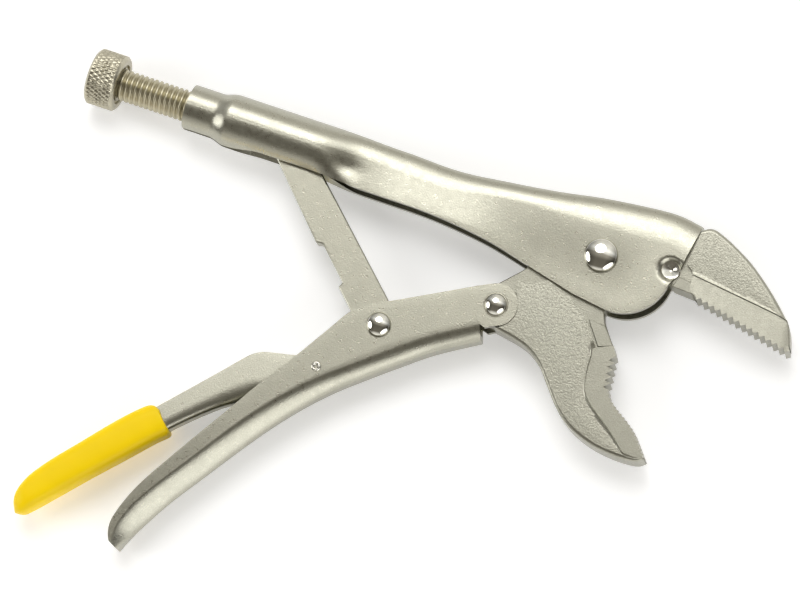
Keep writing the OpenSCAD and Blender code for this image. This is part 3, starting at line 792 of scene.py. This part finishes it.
class PLIERS_OT_movable_jaw(PliersOperator, bpy.types.Operator):
    """Movable jaw: forged plate with coarse and fine teeth, and its thin pivot tang"""
    bl_idname = "pliers.movable_jaw"
    bl_label = "Movable Jaw"

    def build(self, size, look):
        rows = [  # inner edge, ridge, back, rows to the next
            ((-20.2, -17.9), (-21.2, -19.4), (-22.7, -30.2), 6),
            ((-20.2, -13.9), (-19.4, -15.0), (-21.0, -31.1), 6),
            ((-17.4, -14.1), (-17.2, -15.2), (-18.0, -31.4), 6),
            ((-14.6, -13.3), (-14.4, -14.4), (-15.6, -31.7), 6),
            ((-12.2, -11.9), (-12.0, -13.0), (-13.2, -32.2), 8),
            ((-5.0, -14.1), (-5.4, -15.1), (-9.6, -33.8), 8),
            ((1.3, -18.0), (0.5, -18.7), (-5.7, -36.9), 8),
            ((7.6, -26.1), (6.8, -26.6), (-2.2, -41.0), 8),
            ((12.4, -23.9), (7.3, -28.4), (0.8, -44.5), 4),
            ((14.1, -26.6), (7.4, -30.4), (2.4, -46.2), 0)]
        knots = np.array([r[:3] for r in rows])
        index = join([k + np.arange(r[3]) / r[3] for k, r in enumerate(rows[:-1])])
        grip, ridge = between(knots[:, 0], index), between(knots[:, 1], index)
        back_line = smooth_line([(-22.7, -30.2), (-14, -31.9), (-9.6, -33.8), (-5.7, -36.9),
                                 (-2, -41.2), (2.4, -46.2), (6.7, -49.7), (11, -51.9),
                                 (16.7, -53.6), (23.4, -54.3), (29.4, -53.9), (31.9, -52.4)])
        reach = run_lengths(back_line)
        reach /= reach[-1]
        near = np.array([np.argmin(np.linalg.norm(back_line - k, axis=1))
                         for k in knots[:, 2]])
        back_t = np.interp(index, np.arange(len(rows)), reach[near])
        root, heel = np.array([14.1, -26.6]), np.array([15.4, -36.6])
        mouth = smooth_line([heel, (16.8, -38.8), (19.5, -40.9), (23.5, -43.4),
                             (27, -46.1), (29.9, -49.4), (32.1, -52.1)])
        crests = along(mouth, np.linspace(0, 1, FINE_TEETH + 1))
        way = unit(np.diff(crests, axis=0))
        roots = (crests[1:] + crests[:-1]) / 2 + 0.6 * np.stack([way[:, 1], -way[:, 0]], -1)
        fine = np.stack([crests[:-1], roots], 1).reshape(-1, 2)
        teeth = join([toothed(root, heel, COARSE_TEETH, 1.8, 0.75), fine, crests[-1:]])
        u = np.linspace(0, len(teeth) - 1, 2 * len(teeth) - 1)
        base = join([lerp(root, heel, np.linspace(0, 1, 11)[:-1, None]),
                     along(mouth, np.linspace(0, 1, 35))])
        base_t = run_lengths(base)
        base_t = np.interp(u, np.arange(len(base)), base_t / base_t[-1])
        ridge_line = smooth_line([(7.4, -30.4), (7.6, -33), (8.2, -36.6), (9.4, -39.6),
                                  (11.8, -42.2), (15.2, -44.6), (19.0, -47.2), (22.4, -49.9),
                                  (25.6, -52.4), (30.6, -52.6)])
        teeth_back_t = lerp(reach[near[-1]], 1, np.interp(
            base_t, [0, 0.32, 0.62, 0.9, 1], [0, 0.2, 0.5, 0.86, 1]))
        grip = join([grip, between(teeth, u)])
        ridge = join([ridge, along(ridge_line, base_t)])
        back = along(back_line, join([back_t, teeth_back_t]))
        step = 0.42 * join([index > STRIP_STARTS, np.ones(len(u))])
        ear = arc(HANDLE_PIN, EAR_R + 0.5, 57, -76, 20)
        hub = arc(PIVOT, 11, -36, 130, 30)
        lug = arc(HANDLE_PIN, 6, 150, 285, 18)
        tang = join([hub, [(-9.5, 5.4), (-13.2, 0.6), (-20.2, -11)], lug,
                     [(-14, -30), (7.5, -30.5), (13.2, -27.2), (12.3, -24.3),
                      (7.4, -17.9), (6.3, -15.4)]])
        neck = [(2.8, -18.8), (8.1, -19.1), (12.4, -24.1), (8.1, -25.7)]
        jaw_pieces("movable_jaw", "movable_jaw", "_lower", look.steel,
                   forged_plate(grip, ridge, back, step, 0.0, 1.0, 0.12,
                                (ear[:3], ear[2:]), fade=0.07),
                   plate(tang, 3.5), 0.34, plate(neck, 4.8))


LINK_HEAD_X = -101.0


class PLIERS_OT_link(PliersOperator, bpy.types.Operator):
    """Flat link between the lower handle and the adjusting screw"""
    bl_idname = "pliers.link"
    bl_label = "Link"

    def build(self, size, look):
        """The outline of a bar with round ends and a shallow relief, carried across."""
        span = np.array([LINK_HEAD_X, SCREW_Y]) - LINK_PIN
        length = np.linalg.norm(span)
        outline = join([
            arc((0, 0), 5.7, 90, 270, 24), arc((length, 0), 4.8, -84, 84, 18),
            [(31.3, 5.7), (30.6, 4.6), (29.9, 4.1), (17, 4.1), (16.4, 5.7)]])
        c, s = span / length
        bar = plate(outline @ np.array([[c, s], [-s, c]]) + LINK_PIN, 2.5)
        mesh_piece("link_bar", bar, "link",
                   satin_metal("satin_nickel_link", look.nickel, look.roughness), "link",
                   crease=30, round_edges=0.45, segments=3)


class PLIERS_OT_rivets(PliersOperator, bpy.types.Operator):
    """Domed rivets, the dished plug and the small eyelet"""
    bl_idname = "pliers.rivets"
    bl_label = "Rivets"

    def build(self, size, look):
        """Each is a profile carried round its own axis across the tool."""
        chrome = polished_metal("polished_rivet", look.rivet)
        rim, seat = 0.3, CHANNEL_HALF - 0.5
        a = np.radians(np.linspace(90, 0, 16))
        for name, at, shank, head, height, skirt, body in (
                ("jaw_pivot_rivet", PIVOT, 2.95, 5.0, 2.6, 0.0, "upper_handle"),
                ("handle_rivet", HANDLE_PIN, 2.25, 3.65, 2.4, 0.3, "movable_jaw"),
                ("link_rivet", LINK_PIN, 2.25, 3.65, 2.4, 0.0, "lower_handle")):
            dome = np.stack([(head - skirt) * np.cos(a),
                             CHANNEL_HALF + rim + (height - rim) * np.sin(a)], -1)
            brim = [(head - 0.1, CHANNEL_HALF + rim), (head, CHANNEL_HALF + 0.5 * rim),
                    (head, seat), (shank, seat)]
            mesh_piece(name + "_dome", revolve(join([dome, brim]), 64, at), body,
                       chrome, name, crease=50)
        bright = polished_metal("staked_plug", look.rivet, 0.16)
        cup = [(0, 3.86), (0.4, 3.88), (0.7, 4.02), (1.5, 4.38), (2.3, 4.72), (2.6, 4.78),
               (2.8, 4.62), (2.8, 3.8)]
        mesh_piece("fixed_jaw_plug_cup", revolve(cup, 48, PLUG_AT), "upper_handle",
                   bright, "fixed_jaw_plug", crease=28)
        ring = [(0, 5.75), (0.35, 5.75), (0.6, 5.95), (0.8, 6.3), (1.05, 6.4), (1.3, 6.3),
                (1.5, 6.05), (1.55, 5.8), (0.98, 5.8)]
        mesh_piece("lever_rivet_eyelet", revolve(ring, 40, LEVER_PIN), "lower_handle",
                   bright, "lever_rivet", crease=60)


KNOB_X, KNOB_L, KNOB_R = -162.6, 9.2, 8.5
THREAD_R, ROOT_R, TIP_X = 4.7625, 4.12, -109.6
GROOVE_DEEP = 0.30


def turned(x, radius, columns):
    """A shape turned about the screw's axis, from its radius at heights x and angles."""
    a = turns(columns)
    return tube(np.stack([x[:, None] + 0 * a, SCREW_Y + radius * np.cos(a),
                          radius * np.sin(a)], -1))


class PLIERS_OT_screw(PliersOperator, bpy.types.Operator):
    """Threaded adjusting screw and its knurled knob"""
    bl_idname = "pliers.screw"
    bl_label = "Screw and Knob"

    def build(self, size, look):
        self.thread(size, look)
        self.knob(size, look)

    def thread(self, size, look):
        """Radius at height x and angle a: the root plus the thread's height times a
        flat-topped wave of x / pitch - a / full turn, cut down to a cone at the tip."""
        pitch = size.pitch / MM
        columns = 48
        start = KNOB_X + 2.2
        x = join([[start], np.arange(start, TIP_X, pitch / 11), [TIP_X, TIP_X]])
        wave = (x[:, None] / pitch - turns(columns) / (2 * np.pi)) % 1
        crest = np.clip((1 - np.abs(2 * wave - 1) - 0.10) / 0.62, 0, 1)
        r = lerp(ROOT_R, THREAD_R, crest)
        r = np.minimum(r, THREAD_R - np.clip(x - (TIP_X - 1.0), 0, 1)[:, None])
        r = np.where(x[:, None] < KNOB_X + KNOB_L, np.minimum(r, 4.0), r)
        r[0] = r[-1] = 0
        steel = satin_metal("screw_thread", look.thread, 0.33, grain_h=0.004, darker=0.75)
        mesh_piece("adjusting_screw_thread", turned(x, r, columns), "screw",
                   steel, "adjusting_screw", crease=55)

    def knob(self, size, look):
        """A chamfered cylinder whose radius drops along two families of slanted lines: at
        each point the deeper of the two grooves of n a / full turn plus or minus x / lead
        is cut."""
        n = size.knurls
        columns = n * 6
        rim = 0.8
        body_x = np.linspace(rim, KNOB_L - rim, 40)
        head = [(0.0, 0.25), (5.6, 0.25), (6.2, 0.0), (7.35, 0.0), (7.8, 0.1), (8.3, 0.6)]
        foot = [(8.3, KNOB_L - 0.6), (7.8, KNOB_L - 0.1), (7.35, KNOB_L),
                (6.3, KNOB_L), (6.1, KNOB_L - 0.1), (5.95, KNOB_L - 0.75),
                (5.2, KNOB_L - 0.8), (5.1, KNOB_L - 0.15), (4.85, KNOB_L - 0.1),
                (4.1, KNOB_L - 0.3), (4.1, KNOB_L - 2.0), (0.0, KNOB_L - 2.0)]
        profile = join([head, np.stack([np.full(40, KNOB_R), body_x], -1), foot])
        r, x = profile.T
        lead = 2 * np.pi * KNOB_R / n * 1.75
        turn = n * turns(columns) / (2 * np.pi)
        grooves = [np.abs(((turn + way * x[:, None] / lead) % 1) - 0.5) * 2
                   for way in (1, -1)]
        deep = np.clip((np.maximum(*grooves) - 0.52) / 0.48, 0, 1)
        window = ease(x, rim - 0.01, rim + 0.5) * (1 - ease(x, KNOB_L - rim - 0.5,
                                                            KNOB_L - rim + 0.01))
        window *= r > KNOB_R - 0.01
        r = r[:, None] - GROOVE_DEEP * deep * window[:, None]
        steel = satin_metal("knob_steel", look.knob, 0.3, grain_h=0.004, darker=0.8)
        mesh_piece("adjusting_knob_knurl", turned(KNOB_X + x, r, columns), "knob",
                   steel, "adjusting_knob", crease=40)


SPRING_HOOK, SPRING_ANCHOR = (-16.5, -3.5), (-54.0, 3.6)
SPRING_STILL = 0.67     # a fraction of the way from the hook to the anchor; the point there is worked out but not used


class PLIERS_OT_return_spring(PliersOperator, bpy.types.Operator):
    """Return spring: a coil with a loop at each end, between the jaw and the handle"""
    bl_idname = "pliers.return_spring"
    bl_label = "Return Spring"

    def build(self, size, look):
        """Wire of round section along a path in its own axes: three quarters of a circle,
        a half turn that leads into the coil, the coil (x, R sin a, R cos a), and the same
        end turned back."""
        hook, anchor = np.array(SPRING_HOOK), np.array(SPRING_ANCHOR)
        radius, wire = 1.9, 0.45
        length = np.linalg.norm(anchor - hook)
        lead = 1.2 * radius
        b = np.radians(np.arange(-120, 84, 12))
        loop = np.stack([radius * (1 - np.cos(b)), 0 * b, radius * np.sin(b)], -1)
        loop_out = np.stack([-np.cos(b), 0 * b, np.sin(b)], -1)
        c = np.radians(np.arange(0, 180, 18))
        rise = np.stack([radius + lead * np.sin(c / 2), radius * np.sin(c),
                         radius * np.cos(c)], -1)
        rise_out = np.stack([0 * c, np.sin(c), np.cos(c)], -1)
        a = np.linspace(0, 1, size.coils * 20 + 1)
        angle = np.pi + 2 * np.pi * size.coils * a
        x0 = radius + lead
        coil = np.stack([x0 + (length - 2 * x0) * a, radius * np.sin(angle),
                         radius * np.cos(angle)], -1)
        coil_out = np.stack([0 * a, np.sin(angle), np.cos(angle)], -1)
        end, end_out = join([loop, rise]), join([loop_out, rise_out])
        path = join([end, coil, [length, 0, 0] + end[::-1] * [-1, -1, 1]])
        out = join([end_out, coil_out, end_out[::-1] * [-1, -1, 1]])
        ahead = unit(np.gradient(path, axis=0))
        out = unit(out - (out * ahead).sum(1, keepdims=True) * ahead)
        side = np.cross(ahead, out)
        k = turns(10)[:, None]
        ring = path[:, None] + wire * (np.cos(k) * out[:, None] + np.sin(k) * side[:, None])
        ends = [np.repeat(path[i][None], 10, 0)[None] for i in (0, -1)]
        way = unit(anchor - hook)
        turn = np.array([[way[0], way[1], 0], [-way[1], way[0], 0], [0, 0, 1]])
        coil = join([ends[0], ring, ends[1]]) @ turn + [*hook, 0]
        spring = mesh_piece("return_spring_coil", tube(coil), None,
                            satin_metal("spring_wire", look.spring, 0.25, grain_h=0.002),
                            "return_spring", crease=60)
        still = lerp(hook, anchor, SPRING_STILL)
        start, end = placed(np.array([[*still, 0.0], [*hook, 0.0]])).tolist()
        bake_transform(spring)


# ---------------------------------------------------------------- stage

LAMPS = (   # name, place, target, diameter and power
    ("Key", (-0.35, 0.86, 1.5), (0, 0.02, 0), 1.1, 8),
    ("Left", (-1.45, -0.42, 0.75), (0, 0.02, 0), 1.2, 11),
    ("Right", (1.35, -0.95, 0.62), (0, 0.0, 0), 1.7, 15))
SKY_STOPS = (   # from front to back, with the level of light
    (0.0, 0.75), (0.14, 0.14), (0.42, 0.12), (0.575, 0.32), (0.64, 0.78), (0.71, 1.2),
    (0.82, 0.8), (1.0, 0.62))
SKY_STRENGTH = 1.32
VIEW_FROM, VIEW_RIGHT = (0.18002, -0.14824, 0.97243), (0.9315, 0.3440, -0.12)
VIEW_CENTRE, VIEW_DISTANCE = (-0.00130, 0.02359, 0.0085), 1.4327


class PLIERS_OT_stage(PliersOperator, bpy.types.Operator):
    """Pale floor, soft lights and the camera"""
    bl_idname = "pliers.stage"
    bl_label = "Stage"

    def build(self, size, look):
        self.floor()
        for lamp in LAMPS:
            self.light(*lamp)
        self.sky()
        self.camera()
        bpy.context.scene.view_settings.view_transform = "Standard"

    def floor(self):
        m = new_material("pale_floor")
        m.shade(Base_Color=m.mix(m.noise(3.0, 2.0), rgba([0.90] * 3), rgba([0.93] * 3)),
                Roughness=0.9, Emission_Color=(1, 1, 1, 1), Emission_Strength=0.30,
                Specular_IOR_Level=0.1)
        mesh = bpy.data.meshes.new("floor")
        reach = np.linspace(-4, 4, 9)
        x, y = np.meshgrid(reach, reach, indexing="ij")
        points = np.stack([x.ravel(), y.ravel(), 0 * x.ravel()], -1)
        mesh.from_pydata(points.tolist(), [], grid_faces(9, 9).tolist())
        mesh.materials.append(m.owner)
        floor = bpy.data.objects.new("floor", mesh)
        bpy.context.scene.collection.objects.link(floor)

    def light(self, name, at, target, size, power):
        data = bpy.data.lights.new(name, "AREA")
        data.shape = "DISK"
        data.size = size
        data.energy = power
        back = unit(np.subtract(at, target))
        side = unit(np.cross((0.0, 0.0, 1.0), back))
        self.aimed(name, data, side, back, at)

    def aimed(self, name, data, right, back, at):
        """Adds an object at a place, with its X along right and its Z along back."""
        up = np.cross(back, right)
        thing = bpy.data.objects.new(name, data)
        thing.matrix_world = Matrix([[right[k], up[k], back[k], at[k]] for k in range(3)]
                                    + [[0, 0, 0, 1]])
        bpy.context.scene.collection.objects.link(thing)
        return thing

    def sky(self):
        """Even light that is bright behind the tool and darkens towards the front and the
        sides, which gives the metal its contrast."""
        w = Nodes(bpy.data.worlds.new("studio"), "Background")
        split = w.add("ShaderNodeSeparateXYZ", Vector=w.coordinates["Generated"]).outputs
        ramp = w.add("ShaderNodeValToRGB", Fac=w.ramp(split["Y"], 0.0, 1.0, -1.0, 1.0))
        ramp.color_ramp.interpolation = "EASE"
        for _ in SKY_STOPS[2:]:
            ramp.color_ramp.elements.new(0.5)
        for element, (at, level) in zip(ramp.color_ramp.elements, SKY_STOPS):
            element.position = at
            warm = 0.25 * max(0.0, 1 - level)
            element.color = (level, level * (1 - 0.35 * warm), level * (1 - warm), 1)
        sideways = w.add("ShaderNodeMath", "ABSOLUTE", Value=split["X"]).outputs[0]
        level = w.add("ShaderNodeVectorMath", "SCALE", Vector=ramp.outputs["Color"],
                      Scale=w.ramp(sideways, 1.0, 0.25, 0.3, 0.85))
        w.shade(Color=level.outputs[0], Strength=SKY_STRENGTH)
        bpy.context.scene.world = w.owner

    def camera(self):
        data = bpy.data.cameras.new("Camera")
        data.lens = 220.5
        data.sensor_width = 36
        data.clip_start, data.clip_end = 0.01, 50
        back = unit(np.array(VIEW_FROM))
        right = unit(np.array(VIEW_RIGHT))
        right = np.cross(np.cross(back, right), back)
        at = np.array(VIEW_CENTRE) + VIEW_DISTANCE * back
        bpy.context.scene.camera = self.aimed("Camera", data, right, back, at)


BUILDERS = (PLIERS_OT_upper_handle, PLIERS_OT_lower_handle, PLIERS_OT_release_lever,
            PLIERS_OT_lever_sleeve, PLIERS_OT_fixed_jaw, PLIERS_OT_movable_jaw,
            PLIERS_OT_link, PLIERS_OT_rivets, PLIERS_OT_screw, PLIERS_OT_return_spring,
            PLIERS_OT_stage)


class PLIERS_PT_panel(bpy.types.Panel):
    """Lists the pieces, their sizes and their finishes"""
    bl_idname = "PLIERS_PT_panel"
    bl_label = "Locking Pliers"
    bl_space_type = "VIEW_3D"
    bl_region_type = "UI"
    bl_category = "Pliers"

    def draw(self, context):
        for group in (context.scene.pliers_sizes, context.scene.pliers_finish):
            box = self.layout.box()
            for name in group.__annotations__:
                box.prop(group, name)
        column = self.layout.column(align=True)
        for builder in BUILDERS:
            column.operator(builder.bl_idname)


CLASSES = (PliersSizes, PliersFinish) + BUILDERS + (PLIERS_PT_panel,)


def register():
    for cls in CLASSES:
        bpy.utils.register_class(cls)
    bpy.types.Scene.pliers_sizes = PointerProperty(type=PliersSizes)
    bpy.types.Scene.pliers_finish = PointerProperty(type=PliersFinish)


def unregister():
    del bpy.types.Scene.pliers_finish
    del bpy.types.Scene.pliers_sizes
    for cls in reversed(CLASSES):
        bpy.utils.unregister_class(cls)


def main():
    register()
    for builder in BUILDERS:
        group, name = builder.bl_idname.split(".")
        getattr(getattr(bpy.ops, group), name)()
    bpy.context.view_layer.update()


if __name__ == "__main__":
    main()
